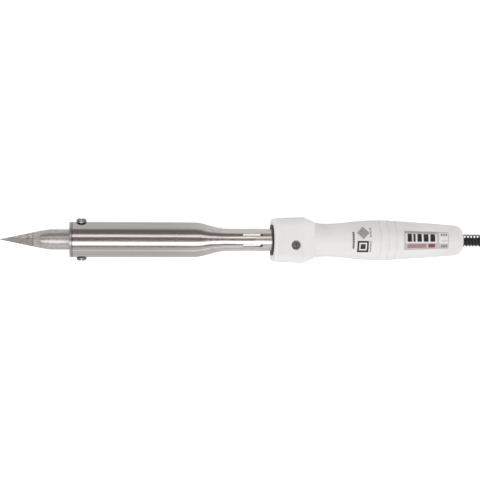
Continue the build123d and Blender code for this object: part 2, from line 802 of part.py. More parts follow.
with BuildPart() as hank_tie:
    with BuildSketch(section(hank_center - tie_width / 2)):
        with Locations((0, (hank_height + tie_thickness) / 2 - axis_z)):
            RectangleRounded(hank_waist + 2 * tie_thickness, hank_height + tie_thickness, tie_rounding)
            Rectangle(hank_waist, hank_height - tie_thickness, mode=Mode.SUBTRACT)
    extrude(amount=tie_width)
hank_tie.part.label = "hank_tie"
export_step(hank_tie.part, "parts/hank_tie.step")

tail_points = [
    (place(hank_rear - 2.2), -8.0, 22.3),
    (place(hank_rear + 7.5), -7.1, 21.2),
    (place(hank_rear + 16.2), -5.3, 18.2),
    (place(hank_rear + 25), -3.3, 15.1),
    (place(hank_rear + 33.3), -1.7, 13.1),
    (place(relief_front), -1.0, plug_axis_z),
]
tail_radii = arc_radii(tail_points)
print("tail arc radii:", [round(r, 1) for r in tail_radii])
with BuildPart() as cord_tail:
    tail_tube, tail_run = tube_along(tail_points, cord_diameter, tail_radii)
    add(tail_tube)
cord_tail.part.label = "cord_tail"
export_step(cord_tail.part, "parts/cord_tail.step")

# ---------------------------------------------------------------- the plug
plug_line = Plane(origin=(place(plug_rear), -1.0, plug_axis_z), x_dir=(0, 1, 0), z_dir=(1, 0, 0))
plug_side = Plane(origin=plug_line.origin, x_dir=(1, 0, 0), z_dir=(0, -1, 0))
plug_spin = Axis(plug_line.origin, (1, 0, 0))
with BuildPart() as plug_relief:
    with BuildSketch(plug_side):
        with BuildLine():
            Polyline(
                (-relief_length, 0), (-relief_length, cord_r + relief_wall),
                (0, plug_neck_diameter / 2 - 1), (0, 0), close=True,
            )
        make_face()
    revolve(axis=plug_spin)
plug_relief.part.label = "plug_relief"
export_step(plug_relief.part, "parts/plug_relief.step")

with BuildPart() as plug_body:
    with BuildSketch(plug_side):
        with BuildLine():
            Line((0, 0), (0, plug_neck_diameter / 2))
            Spline(
                (0, plug_neck_diameter / 2),
                (0.35 * plug_length, 0.8 * plug_diameter / 2),
                (plug_length - plug_front, plug_diameter / 2),
                tangents=((1, 0.2), (1, 0)),
            )
            Polyline(
                (plug_length - plug_front, plug_diameter / 2), (plug_length, plug_diameter / 2),
                (plug_length, 0), (0, 0),
            )
        make_face()
        fillet(vertices().group_by(Axis.X)[-1].sort_by(Axis.Z)[-1], plug_rounding)
    revolve(axis=plug_spin)
    with BuildSketch(plug_line.offset(plug_length)):
        with GridLocations(pin_spacing, 0, 2, 1):
            Circle(pin_root_diameter / 2)
    extrude(amount=-plug_front, mode=Mode.SUBTRACT)
plug_body.part.label = "plug_body"
export_step(plug_body.part, "parts/plug_body.step")

with BuildPart() as plug_pins:
    with BuildSketch(plug_line.offset(plug_length - plug_front)):
        with GridLocations(pin_spacing, 0, 2, 1):
            Circle(pin_root_diameter / 2)
    extrude(amount=plug_front)
    with BuildSketch(plug_line.offset(plug_length)):
        with GridLocations(pin_spacing, 0, 2, 1):
            Circle(pin_diameter / 2)
    extrude(amount=pin_length)
    chamfer(faces().group_by(Axis.X)[-1].edges(), 0.8)
plug_pins.part.label = "plug_pins"
export_step(plug_pins.part, "parts/plug_pins.step")

# ---------------------------------------------------------------- what was made
cord_area = 3.14159265 * cord_r**2
for name, tube, run in (("cord", power_cord, cord_run), ("tail", cord_tail, tail_run)):
    ratio = tube.part.volume / cord_area / run
    print(f"{name}: {run:.1f} mm long, volume over section times length {ratio:.4f}")
print(f"point to handle's end {handle_rear:.1f} mm, to guard's end {spring_end:.1f} mm")
print(f"half length {half_length:.2f} mm, axis {axis_z:.2f} mm above the floor")
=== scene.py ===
# %% [markdown]
# # A heavy soldering iron
# The iron's working parts come from the CAD model, already at their real size and place. This notebook
# gives them their finishes, models the soft and printed things that CAD leaves plain, lights them and
# sets the camera. Everything is in metres; +X runs from the iron's point to its cord, +Z is up.

# %% Load the iron
from math import atan2, cos, pi, radians, sin

import bpy
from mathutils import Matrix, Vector


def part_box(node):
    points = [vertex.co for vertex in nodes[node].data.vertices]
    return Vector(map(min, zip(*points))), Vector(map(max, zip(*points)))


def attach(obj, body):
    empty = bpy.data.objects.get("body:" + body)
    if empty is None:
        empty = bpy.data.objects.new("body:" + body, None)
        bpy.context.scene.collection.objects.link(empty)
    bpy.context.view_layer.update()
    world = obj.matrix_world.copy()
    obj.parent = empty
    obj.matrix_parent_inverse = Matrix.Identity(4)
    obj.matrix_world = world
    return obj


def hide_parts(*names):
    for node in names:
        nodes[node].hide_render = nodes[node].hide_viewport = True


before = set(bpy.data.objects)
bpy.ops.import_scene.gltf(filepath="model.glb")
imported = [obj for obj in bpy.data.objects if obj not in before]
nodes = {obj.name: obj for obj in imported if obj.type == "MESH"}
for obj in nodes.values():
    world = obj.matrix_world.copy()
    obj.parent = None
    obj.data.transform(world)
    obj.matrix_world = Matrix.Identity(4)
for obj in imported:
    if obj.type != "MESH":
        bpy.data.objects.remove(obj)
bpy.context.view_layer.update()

MM = 0.001
print("pieces in the frame:", len(nodes))

# %% [markdown]
# Places are read from the frame, so nothing here has to be fitted by eye. The iron's axis is at half the
# height of the handle's collar, and the bit's lowest X is the point of the iron.

# %% Places taken from the frame
point_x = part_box("tip")[0].x
axis_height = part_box("handle")[1].z / 2
handle_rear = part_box("handle")[1].x
barrel_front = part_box("barrel")[0].x
guard_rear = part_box("guard_spring")[1].x
hank_low, hank_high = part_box("cord_hank")
hank_middle = (hank_low + hank_high) / 2
print("iron's axis is", round(axis_height / MM, 2), "mm above the floor")

# %% [markdown]
# ## The camera
# The iron is seen from above with a long lens. The camera stands over the front of the barrel and is
# turned a little towards the handle, so the barrel's mouth is seen square and the far end slightly from
# the left. That is why the front of the black bush at the handle's mouth shows.

# %% Camera
camera_foot = point_x + 82.4 * MM
camera_height = axis_height + 0.9
camera_data = bpy.data.cameras.new("overhead_camera")
camera_data.lens = 89.0
camera_data.sensor_width = 36.0
camera_data.clip_start = 0.01
camera = bpy.data.objects.new("overhead_camera", camera_data)
camera.location = (camera_foot, -0.0003, camera_height)
camera.rotation_euler = (0, radians(-6.2), radians(0.15))
bpy.context.scene.collection.objects.link(camera)
bpy.context.scene.camera = camera

# %% [markdown]
# ## The cord
# The cord is one curve: straight through its guard, down to the floor, three turns of a tied hank, and
# up over the last loop to the plug. A NURBS curve with a round bevel gives a smooth round cord from few
# points. The straight stretch and the tail are listed points, and a loop works out the hank's turns
# from two circles a side.

# %% The cord's route
cord_diameter = 5.9 * MM
cord_radius = cord_diameter / 2


def along(millimetres, start):
    """An X that many millimetres behind a place on the iron."""
    return start + millimetres * MM


lead_in = [
    (handle_rear, -0.75 * MM, axis_height - 0.30 * MM),
    (along(20, handle_rear), -0.75 * MM, axis_height - 0.30 * MM),
    (along(1, guard_rear), -0.60 * MM, axis_height - 0.45 * MM),
    (along(14, guard_rear), -0.45 * MM, 16.0 * MM),
    (along(27, guard_rear), -0.55 * MM, 10.9 * MM),
    (along(40, guard_rear), -1.00 * MM, 5.4 * MM),
    (along(0.4, hank_low.x), -1.50 * MM, 3.0 * MM),
    (along(16, hank_low.x), -2.10 * MM, 3.0 * MM),
    (along(34, hank_low.x), -2.90 * MM, 3.3 * MM),
]
run_out = [
    (along(-47, hank_high.x), -8.6 * MM, 21.8 * MM),
    (along(-34, hank_high.x), -12.2 * MM, 22.0 * MM),
    (along(-22, hank_high.x), -12.8 * MM, 22.2 * MM),
    (along(-11.5, hank_high.x), -10.4 * MM, 22.4 * MM),
    (along(-2.2, hank_high.x), -8.0 * MM, 22.3 * MM),
    (along(7.5, hank_high.x), -7.1 * MM, 21.2 * MM),
    (along(16.2, hank_high.x), -5.3 * MM, 18.2 * MM),
    (along(25, hank_high.x), -3.3 * MM, 15.1 * MM),
    (along(33.3, hank_high.x), -1.7 * MM, 13.1 * MM),
    (along(41.5, hank_high.x), -1.0 * MM, 12.55 * MM),
]

# %% [markdown]
# A tied hank is a loop pinched at its middle: two round lobes, and sides that bend the other way over the
# tie. Where a lobe's circle meets a side's circle they share a tangent, which settles the side's radius.
# The far loops lie level, and each near loop climbs one cord thickness, over the cord that comes in from
# the iron, so the turns lie on each other. Each turn is a little different in size.

# %% The hank's turns
hank_turns = 3
points_per_turn = 30
lobe_radius = 19.0 * MM
lobe_middle = 36.4 * MM
waist_half = 3.05 * MM
first_height = 3.8 * MM
layer_step = 5.95 * MM
side_radius = (lobe_middle**2 + waist_half**2 - lobe_radius**2) / (2 * (lobe_radius - waist_half))
side_angle = atan2(lobe_middle, waist_half + side_radius)
side_run = side_radius * side_angle
lobe_run = lobe_radius * (pi + 2 * side_angle)
half_run = 2 * side_run + lobe_run


def half_loop(gone):
    """The x and y after a distance from the tie, round the +X lobe and back to the tie."""
    if side_run < gone < side_run + lobe_run:
        angle = (gone - side_run) / lobe_radius - pi / 2 - side_angle
        return lobe_middle + lobe_radius * cos(angle), lobe_radius * sin(angle)
    angle = min(gone, half_run - gone) / side_radius
    x, y = side_radius * sin(angle), waist_half + side_radius * (1 - cos(angle))
    return (x, -y) if gone < half_run / 2 else (x, y)


def hank_point(turn):
    """The cord's middle after a number of turns from the tie."""
    whole = int(turn + 1e-6)
    share = turn - whole
    x, y = half_loop((share % 0.5) * 2 * half_run)
    way = 1 if share < 0.5 else -1
    climb = min(max((share - 0.5) / 0.2, 0), 1)
    z = first_height + layer_step * (whole + climb * climb * (3 - 2 * climb))
    size = 1 + 0.012 * sin(2.4 * turn + 0.6) * min(1, abs(x) / (30 * MM))
    return hank_middle.x + way * size * x, way * size * y, z


turn_points = [
    hank_point(step / points_per_turn) for step in range(hank_turns * points_per_turn + 1)
]
print("hank:", len(turn_points), "points, side radius", round(side_radius / MM, 1), "mm")

# %% The cord as one curve
cord_curve = bpy.data.curves.new("power_cord_run", "CURVE")
cord_curve.dimensions = "3D"
route = cord_curve.splines.new("NURBS")
cord_points = lead_in + turn_points + run_out
route.points.add(len(cord_points) - 1)
for spot, place in zip(route.points, cord_points):
    spot.co = (*place, 1)
route.order_u = 3
route.use_endpoint_u = True
cord_curve.resolution_u = 6
cord_curve.bevel_depth = cord_radius
cord_curve.bevel_resolution = 5
cord_curve.use_fill_caps = True
cord_piece = bpy.data.objects.new("power_cord_run", cord_curve)
bpy.context.scene.collection.objects.link(cord_piece)

# %% Helpers for modelling with operators
def deselect():
    """Nothing selected, so an operator acts only on what is added next."""
    if bpy.context.object and bpy.context.object.mode != "OBJECT":
        bpy.ops.object.mode_set(mode="OBJECT")
    bpy.ops.object.select_all(action="DESELECT")


def place_in_mesh(piece):
    """Moves a piece's place, turn and scale into its mesh."""
    deselect()
    piece.select_set(True)
    bpy.context.view_layer.objects.active = piece
    bpy.ops.object.transform_apply(location=True, rotation=True, scale=True)


def select_faces(piece, wanted):
    """In edit mode, selects the faces for which wanted(normal, middle) is true."""
    bpy.ops.object.mode_set(mode="OBJECT")
    for face in piece.data.polygons:
        face.select = bool(wanted(face.normal, face.center))
    bpy.ops.object.mode_set(mode="EDIT")


def finish_piece(piece, name, angle=35):
    """Names a modelled piece, turns its normals outwards and shades it smooth between sharp edges."""
    bpy.ops.mesh.select_all(action="SELECT")
    bpy.ops.mesh.normals_make_consistent(inside=False)
    bpy.ops.object.mode_set(mode="OBJECT")
    place_in_mesh(piece)
    bpy.ops.object.shade_smooth_by_angle(angle=radians(angle))
    piece.name = name


# %% [markdown]
# ## The tie and the cord's end
# The hank is held by a flat strap with a small lock on top. It starts as a block: its two ends are inset
# and joined through, which leaves a band, and then its edges are rounded. The lock is a second block
# with a stepped top. Both are sized from the CAD tie, so the strap clears the cords it holds.

# %% Hank tie
tie_low, tie_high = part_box("hank_tie")
tie_middle, tie_size = (tie_low + tie_high) / 2, tie_high - tie_low
lock_height = 0.9 * MM
strap_thickness = 0.55 * MM
strap_width = 0.62 * tie_size.x
strap_height = tie_size.z - lock_height
strap_slope = 8.3 * MM  # the top turn lies on one side only, so the strap slopes down on the other


def select_long_edges(piece, wanted):
    """In edit mode, selects the edges along X for which wanted(middle) is true."""
    bpy.ops.object.mode_set(mode="EDIT")
    bpy.ops.mesh.select_mode(type="EDGE")
    bpy.ops.mesh.select_all(action="DESELECT")
    bpy.ops.object.mode_set(mode="OBJECT")
    for edge in piece.data.edges:
        one, other = (piece.data.vertices[i].co for i in edge.vertices)
        edge.select = abs(one.x - other.x) > strap_width / 2 and wanted((one + other) / 2)
    bpy.ops.object.mode_set(mode="EDIT")


deselect()
bpy.ops.mesh.primitive_cube_add(size=1, location=tie_middle - Vector((0, 0, lock_height / 2)))
strap = bpy.context.object
strap.scale = (strap_width, tie_size.y, strap_height)
place_in_mesh(strap)
select_long_edges(strap, lambda middle: middle.y > tie_middle.y and middle.z > tie_middle.z)
bpy.ops.mesh.bevel(offset=strap_slope, segments=1)
select_long_edges(strap, lambda middle: True)
bpy.ops.mesh.bevel(offset=2.2 * MM, segments=6)
bpy.ops.mesh.select_mode(type="FACE")
select_faces(strap, lambda normal, middle: abs(normal.x) > 0.9)
bpy.ops.mesh.inset(thickness=strap_thickness, depth=0)
bpy.ops.mesh.bridge_edge_loops()
finish_piece(strap, "hank_strap")

deselect()
lock_place = (tie_middle.x, tie_low.y + 2.75 * MM, tie_high.z - 1.0 * MM)
bpy.ops.mesh.primitive_cube_add(size=1, location=lock_place)
lock = bpy.context.object
lock.scale = (0.8 * strap_width, 0.26 * tie_size.y, 2.0 * MM)
place_in_mesh(lock)
bpy.ops.object.mode_set(mode="EDIT")
select_faces(lock, lambda normal, middle: normal.z > 0.9)
bpy.ops.mesh.inset(thickness=0.9 * MM, depth=0)
bpy.ops.transform.translate(value=(0, 0, -0.35 * MM))
bpy.ops.mesh.select_all(action="SELECT")
bpy.ops.mesh.bevel(offset=0.22 * MM, segments=2)
finish_piece(lock, "hank_lock")
deselect()
strap.select_set(True)
lock.select_set(True)
bpy.context.view_layer.objects.active = strap
bpy.ops.object.join()
tie_piece = bpy.context.object
tie_piece.name = "hank_tie_strap"
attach(tie_piece, "iron")
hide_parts("hank_tie")

# %% [markdown]
# The strain relief is turned from one circle: each step extrudes the last ring along the cord and sizes
# it, so the ribs get thicker towards the plug and the cord bends over a length and not at a corner.

# %% Ribbed strain relief
relief_low, relief_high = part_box("plug_relief")
relief_middle = (relief_low + relief_high) / 2
relief_run = relief_high.x - relief_low.x
relief_end = (relief_high.z - relief_low.z) / 2
relief_start = relief_end - 1.3 * MM
rib_count = 6
rib_depth = 0.55 * MM


def turned_piece(stations, middle, name):
    """A closed piece turned about the X axis from (x, radius) stations."""
    deselect()
    first_x, last_radius = stations[0]
    bpy.ops.mesh.primitive_circle_add(
        vertices=48, radius=last_radius, fill_type="NGON",
        location=(first_x, middle.y, middle.z), rotation=(0, radians(90), 0),
    )
    piece = bpy.context.object
    place_in_mesh(piece)
    bpy.ops.object.mode_set(mode="EDIT")
    bpy.ops.mesh.select_mode(type="FACE")
    bpy.ops.mesh.select_all(action="SELECT")
    for x, radius in stations[1:]:
        bpy.ops.mesh.extrude_region_move(TRANSFORM_OT_translate={"value": (x - first_x, 0, 0)})
        share = radius / last_radius
        bpy.ops.transform.resize(value=(1, share, share), center_override=(x, middle.y, middle.z))
        first_x, last_radius = x, radius
    finish_piece(piece, name)
    return piece


relief_stations = [(relief_low.x, relief_start - 0.35 * MM), (relief_low.x + 0.35 * MM, relief_start)]
for rib in range(rib_count):
    rib_x = relief_low.x + (1.6 + rib * 2.9) * MM
    full = relief_start + (relief_end - relief_start) * (rib_x - relief_low.x) / relief_run
    slim = full - rib_depth * (0.4 + 0.6 * rib / (rib_count - 1))
    relief_stations += [
        (rib_x, full), (rib_x + 0.3 * MM, slim), (rib_x + 1.1 * MM, slim), (rib_x + 1.4 * MM, full),
    ]
relief_stations.append((relief_high.x, relief_end))
relief_piece = turned_piece(relief_stations, relief_middle, "ribbed_relief")
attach(relief_piece, "iron")
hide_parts("plug_relief")

# %% [markdown]
# ## Floor and light
# A pale floor and soft light from large panels. The long panels also draw the bright and dark bands that
# run down the polished barrel: a bright panel on the near side of the camera, a weaker one on the far
# side, and the darker room between and beyond them.

# %% Floor
deselect()
bpy.ops.mesh.primitive_plane_add(size=5, location=(0, 0, 0))
floor = bpy.context.object
floor.name = "floor"
floor.visible_glossy = False  # metal reflects the room instead, as it does above a light table

# %% The room's light
bpy.context.scene.view_settings.view_transform = "Standard"
world = bpy.data.worlds.new("room")
bpy.context.scene.world = world
world.use_nodes = True
room = world.node_tree
direction = room.nodes.new("ShaderNodeTexCoord").outputs["Generated"]
height = room.nodes.new("ShaderNodeSeparateXYZ")
room.links.new(direction, height.inputs[0])
blend_of_room = room.nodes.new("ShaderNodeValToRGB")
room.links.new(height.outputs[2], blend_of_room.inputs[0])
stops = blend_of_room.color_ramp.elements
stops[0].position, stops[0].color = 0.21, (0.61, 0.595, 0.575, 1)
stops[1].position, stops[1].color = 0.37, (0.17, 0.14, 0.145, 1)
room.links.new(blend_of_room.outputs[0], room.nodes["Background"].inputs["Color"])


def panel(name, place, width, length, brightness, colour=(1.0, 0.99, 0.98)):
    """A soft panel that faces the middle of the iron; brightness is what a mirror would show of it."""
    light = bpy.data.lights.new(name, "AREA")
    light.shape = "RECTANGLE"
    light.size, light.size_y = length, width
    light.energy = brightness * pi * width * length
    light.color = colour
    made = bpy.data.objects.new(name, light)
    made.location = place
    facing = (Vector((0, 0, axis_height)) - Vector(place)).to_track_quat("-Z", "Y")
    made.rotation_mode = "QUATERNION"
    made.rotation_quaternion = facing
    bpy.context.scene.collection.objects.link(made)
    return made


def above(tilt, distance):
    """A place over the iron's axis, tilt degrees from straight up towards +Y."""
    return 0.0, distance * sin(radians(tilt)), axis_height + distance * cos(radians(tilt))


panel("near_panel", above(-26, 1.5), 0.66, 2.6, 1.75)
panel("far_panel", above(25, 1.5), 0.42, 2.6, 0.95)
panel("low_near_panel", above(-66, 1.6), 0.85, 2.6, 0.40)
for side_name, way in (("point_end_panel", -1), ("cord_end_panel", 1)):
    end_panel = panel(side_name, (way * 1.35, 0.0, 1.0), 2.4, 1.0, 1.9, (0.99, 1.0, 1.0))
    end_panel.visible_glossy = False  # it softens the shadows and isn't seen in the metal

# %% [markdown]
# ## Finishes
# Every finish is a small network of nodes on the Principled shader. A helper adds a node with its inputs
# in one line, which keeps each finish short enough to read. Patterns use Object coordinates, which are
# the iron's own metres, so a mark stays where it is when a piece moves.

# %% Helpers for finishes
def finish(name):
    """A new material, its node tree and its Principled shader."""
    made = bpy.data.materials.new(name)
    made.use_nodes = True
    return made, made.node_tree, made.node_tree.nodes["Principled BSDF"]


def node(tree, kind, inputs=None, **settings):
    """Adds a node; an input is a number, a colour, or another node's output."""
    made = tree.nodes.new(kind)
    for key, value in settings.items():
        setattr(made, key, value)
    for key, value in (inputs or {}).items():
        if isinstance(value, bpy.types.NodeSocket):
            tree.links.new(value, made.inputs[key])
        else:
            made.inputs[key].default_value = value
    return made


def math(tree, operation, first, second=0.0, third=0.0, clamp=False):
    """One step of arithmetic."""
    made = node(tree, "ShaderNodeMath", {0: first, 1: second, 2: third}, operation=operation)
    made.use_clamp = clamp
    return made.outputs[0]


def object_axes(tree):
    """The x, y and z of a point, in metres, and the whole vector."""
    place = node(tree, "ShaderNodeTexCoord").outputs["Object"]
    split = node(tree, "ShaderNodeSeparateXYZ", {0: place})
    return place, split.outputs[0], split.outputs[1], split.outputs[2]


def stretched(tree, place, scale):
    """The place scaled along each axis, for a pattern that is longer one way."""
    return node(tree, "ShaderNodeMapping", {"Vector": place, "Scale": scale}).outputs[0]


def noise(tree, place, scale, detail=3.0, roughness=0.5):
    """Soft noise from 0 to 1."""
    made = node(tree, "ShaderNodeTexNoise", {
        "Vector": place, "Scale": scale, "Detail": detail, "Roughness": roughness,
    })
    return made.outputs[0]


def between(tree, value, low, high, out_low=0.0, out_high=1.0):
    """Maps a value from low..high to out_low..out_high, smoothly and clamped."""
    made = node(tree, "ShaderNodeMapRange", {
        "Value": value, "From Min": low, "From Max": high, "To Min": out_low, "To Max": out_high,
    }, interpolation_type="SMOOTHSTEP")
    return made.outputs[0]


def mix(tree, share, first, second):
    """A colour between two."""
    made = node(tree, "ShaderNodeMix", data_type="RGBA")
    for socket, value in ((made.inputs[0], share), (made.inputs[6], first), (made.inputs[7], second)):
        if isinstance(value, bpy.types.NodeSocket):
            tree.links.new(value, socket)
        else:
            socket.default_value = value
    return made.outputs[2]


def bump(tree, shader, height, depth, strength=1.0):
    """Small relief, depth metres high where height is 1."""
    made = node(tree, "ShaderNodeBump", {"Height": height, "Strength": strength, "Distance": depth})
    tree.links.new(made.outputs[0], shader.inputs["Normal"])


def wear(node_name, material):
    """Gives a CAD node its finish."""
    slots = nodes[node_name].data.materials
    slots.clear()
    slots.append(material)


def grey(value, warmth=0.0):
    """A grey, warmer where warmth is over 0."""
    return (value * (1 + warmth), value, value * (1 - warmth), 1)


# %% Floor finish
floor_finish, tree, shader = finish("pale_floor")
place, _, _, _ = object_axes(tree)
shade = between(tree, noise(tree, place, 3.0), 0.3, 0.7)
tree.links.new(mix(tree, shade, grey(0.92), grey(0.95)), shader.inputs["Base Color"])
shader.inputs["Roughness"].default_value = 0.8
shader.inputs["Emission Color"].default_value = grey(1.0)
shader.inputs["Emission Strength"].default_value = 0.5
floor.data.materials.append(floor_finish)

# %% [markdown]
# ### Brushed stainless barrel
# Stainless tube is drawn and then brushed lengthwise. The scratches are noise stretched along X, used
# three ways: in the colour, in the roughness, and as relief. The swaged end is paler, the neck is satin,
# and a dark seam shows where the barrel meets the nose ring's flange.

# %% Stainless
def stainless_finish():
    material, tree, shader = finish("brushed_stainless")
    place, x, _, _ = object_axes(tree)
    scratches = noise(tree, stretched(tree, place, (6, 900, 900)), 1.0, 4.0, 0.6)
    clouds = noise(tree, stretched(tree, place, (20, 60, 60)), 1.0, 2.0)
    heat = between(tree, x, point_x + 120 * MM, point_x + 185 * MM)
    heat_tint = mix(tree, heat, (0.73, 0.70, 0.68, 1), (0.90, 0.87, 0.84, 1))
    streaks = mix(tree, heat, grey(0.62, 0.02), grey(0.77, 0.02))
    colour = mix(tree, between(tree, scratches, 0.35, 0.65), heat_tint, streaks)
    colour = mix(tree, between(tree, clouds, 0.45, 0.8, 0, 0.3), colour, grey(0.54, 0.03))
    seam = between(tree, x, barrel_front + 0.9 * MM, barrel_front + 0.4 * MM)
    colour = mix(tree, math(tree, "MULTIPLY", seam, 0.75), colour, grey(0.10, 0.02))
    tree.links.new(colour, shader.inputs["Base Color"])
    shader.inputs["Metallic"].default_value = 1.0
    polished = between(tree, scratches, 0.3, 0.7, 0.13, 0.24)
    satin = between(tree, scratches, 0.3, 0.7, 0.20, 0.34)
    neck = between(tree, x, point_x + 189 * MM, point_x + 192 * MM)
    roughness = node(tree, "ShaderNodeMix", {0: neck, 2: polished, 3: satin}).outputs[0]
    tree.links.new(roughness, shader.inputs["Roughness"])
    bump(tree, shader, scratches, 0.00002, 0.5)
    return material


# %% [markdown]
# ### Turned and plated steel
# Turned faces have fine rings round the axis, so their relief is noise that changes quickly along X only.

# %% Turned steel and screws
def turned_finish(name, base, low, high, ring_scale=2600):
    material, tree, shader = finish(name)
    place, _, _, _ = object_axes(tree)
    rings = noise(tree, stretched(tree, place, (ring_scale, 30, 30)), 1.0, 3.0, 0.55)
    stains = noise(tree, place, 160.0, 4.0, 0.6)
    dark = tuple(0.72 * part for part in base[:3]) + (1,)
    colour = mix(tree, between(tree, stains, 0.42, 0.72), base, dark)
    tree.links.new(colour, shader.inputs["Base Color"])
    shader.inputs["Metallic"].default_value = 1.0
    tree.links.new(between(tree, rings, 0.3, 0.7, low, high), shader.inputs["Roughness"])
    bump(tree, shader, rings, 0.00003, 0.6)
    return material


# %% [markdown]
# ### Painted blocks
# A mark is a block of colour between two stations and two widths. `block` gives 1 inside and 0 outside,
# with edges as soft as ink on plastic, and `bars` breaks a block into a row.

# %% Blocks and bars
def block(tree, x, y, x_low, x_high, y_low, y_high, soft=0.00012):
    """1 inside a rectangle, 0 outside."""
    mask = 1.0
    for value, low, high in ((x, x_low, x_high), (y, y_low, y_high)):
        inside = math(
            tree, "MULTIPLY", between(tree, value, low - soft, low + soft),
            between(tree, value, high + soft, high - soft),
        )
        mask = math(tree, "MULTIPLY", mask, inside)
    return mask


def bars(tree, value, period, share):
    """1 on bars that take a share of each period along a value, 0 between them."""
    phase = math(tree, "FRACT", math(tree, "DIVIDE", value, period))
    return between(tree, phase, share + 0.08, share - 0.08)


def total(tree, *masks):
    """Where any of the masks is 1."""
    result = 0.0
    for mask in masks:
        result = math(tree, "MAXIMUM", result, mask)
    return result


def away(tree, value, middle):
    """How far a value is from a middle."""
    return math(tree, "ABSOLUTE", math(tree, "SUBTRACT", value, middle))


# %% [markdown]
# ### The bit
# Copper plated with iron, satin where it was turned, and tinned with solder on the four ground faces.
# The tinned part is smoother, with pale and dark patches of solder and flux. The face on the near side of
# the ridge between two faces is darkened with painted shade, and a dark line of painted shade runs along
# that ridge. A faint dark line marks where the tinning stops.

# %% Bit finish
tinned_end = point_x + 24.4 * MM


def bit_finish():
    material, tree, shader = finish("plated_bit")
    place, x, y, _ = object_axes(tree)
    rings = noise(tree, stretched(tree, place, (2400, 40, 40)), 1.0, 3.0, 0.6)
    blotches = noise(tree, place, 320.0, 4.0, 0.65)
    tinned = between(tree, x, tinned_end + 0.3 * MM, tinned_end - 0.3 * MM)
    line = between(tree, away(tree, x, tinned_end), 0.9 * MM, 0.3 * MM)
    plated = mix(tree, between(tree, blotches, 0.4, 0.7), grey(0.72, 0.012), grey(0.58, 0.03))
    solder_and_shade = mix(tree, between(tree, blotches, 0.45, 0.62), grey(0.72, 0.01), (0.46, 0.40, 0.36, 1))
    # Painted shade: the face on the near side of the ridge is darkened towards brown.
    near_face_shade = between(tree, y, 0.6 * MM, -0.2 * MM, 0, 0.65)
    solder_and_shade = mix(tree, near_face_shade, solder_and_shade, (0.40, 0.345, 0.32, 1))
    colour = mix(tree, tinned, plated, solder_and_shade)
    # Painted shade: a dark line along the ridge between the two faces.
    ridge_shade_line = block(
        tree, x, y, point_x + 8 * MM, tinned_end + 2 * MM, 0.2 * MM, 0.8 * MM, 0.3 * MM,
    )
    colour = mix(tree, math(tree, "MULTIPLY", ridge_shade_line, 0.55), colour, (0.12, 0.10, 0.09, 1))
    colour = mix(tree, math(tree, "MULTIPLY", line, 0.35), colour, (0.10, 0.085, 0.07, 1))
    tree.links.new(colour, shader.inputs["Base Color"])
    shader.inputs["Metallic"].default_value = 1.0
    satin = between(tree, rings, 0.3, 0.7, 0.30, 0.46)
    wet = between(tree, blotches, 0.35, 0.65, 0.14, 0.34)
    roughness = node(tree, "ShaderNodeMix", {0: tinned, 2: satin, 3: wet}).outputs[0]
    tree.links.new(roughness, shader.inputs["Roughness"])
    relief = node(tree, "ShaderNodeMix", {0: tinned, 2: rings, 3: blotches}).outputs[0]
    bump(tree, shader, relief, 0.00006, 0.6)
    return material


# %% [markdown]
# ### Moulded white handle
# A glossy but not mirror-like white plastic. Moulding leaves a very fine orange-peel relief, and handling
# leaves faint grey clouds at random.

# %% Plastic finishes
def moulded_finish(name, base, low, high, peel_scale=900.0, shade=0.93):
    material, tree, shader = finish(name)
    place, _, _, _ = object_axes(tree)
    peel = noise(tree, place, peel_scale, 2.0)
    clouds = noise(tree, place, 45.0, 3.0)
    dim = tuple(shade * part for part in base[:3]) + (1,)
    tree.links.new(mix(tree, between(tree, clouds, 0.4, 0.7), base, dim), shader.inputs["Base Color"])
    tree.links.new(between(tree, peel, 0.3, 0.7, low, high), shader.inputs["Roughness"])
    bump(tree, shader, peel, 0.00002, 0.35)
    return material


# %% [markdown]
# ### Printed marks
# The handle has a row of small bars, a hatched diamond, a double square and two more rows of bars. The
# label has a silver border, a hatched band, five black bars, a band of red bars, and three small fields
# at its end. None of them spells anything. Stations are measured from the iron's point.

# %% Marked handle
front_row = (264.7 * MM, 266.2 * MM, -6.3 * MM, 6.5 * MM)
far_row = (277.8 * MM, 279.2 * MM, 2.2 * MM, 9.4 * MM)
near_row = (277.8 * MM, 279.2 * MM, -9.0 * MM, -0.6 * MM)
diamond_middle = (272.9 * MM, 5.6 * MM)
square_middle = (272.7 * MM, -4.8 * MM)


def ramp_down(tree, value, edge, soft=0.0002):
    """1 up to an edge, 0 beyond it."""
    return between(tree, value, edge, edge - soft)


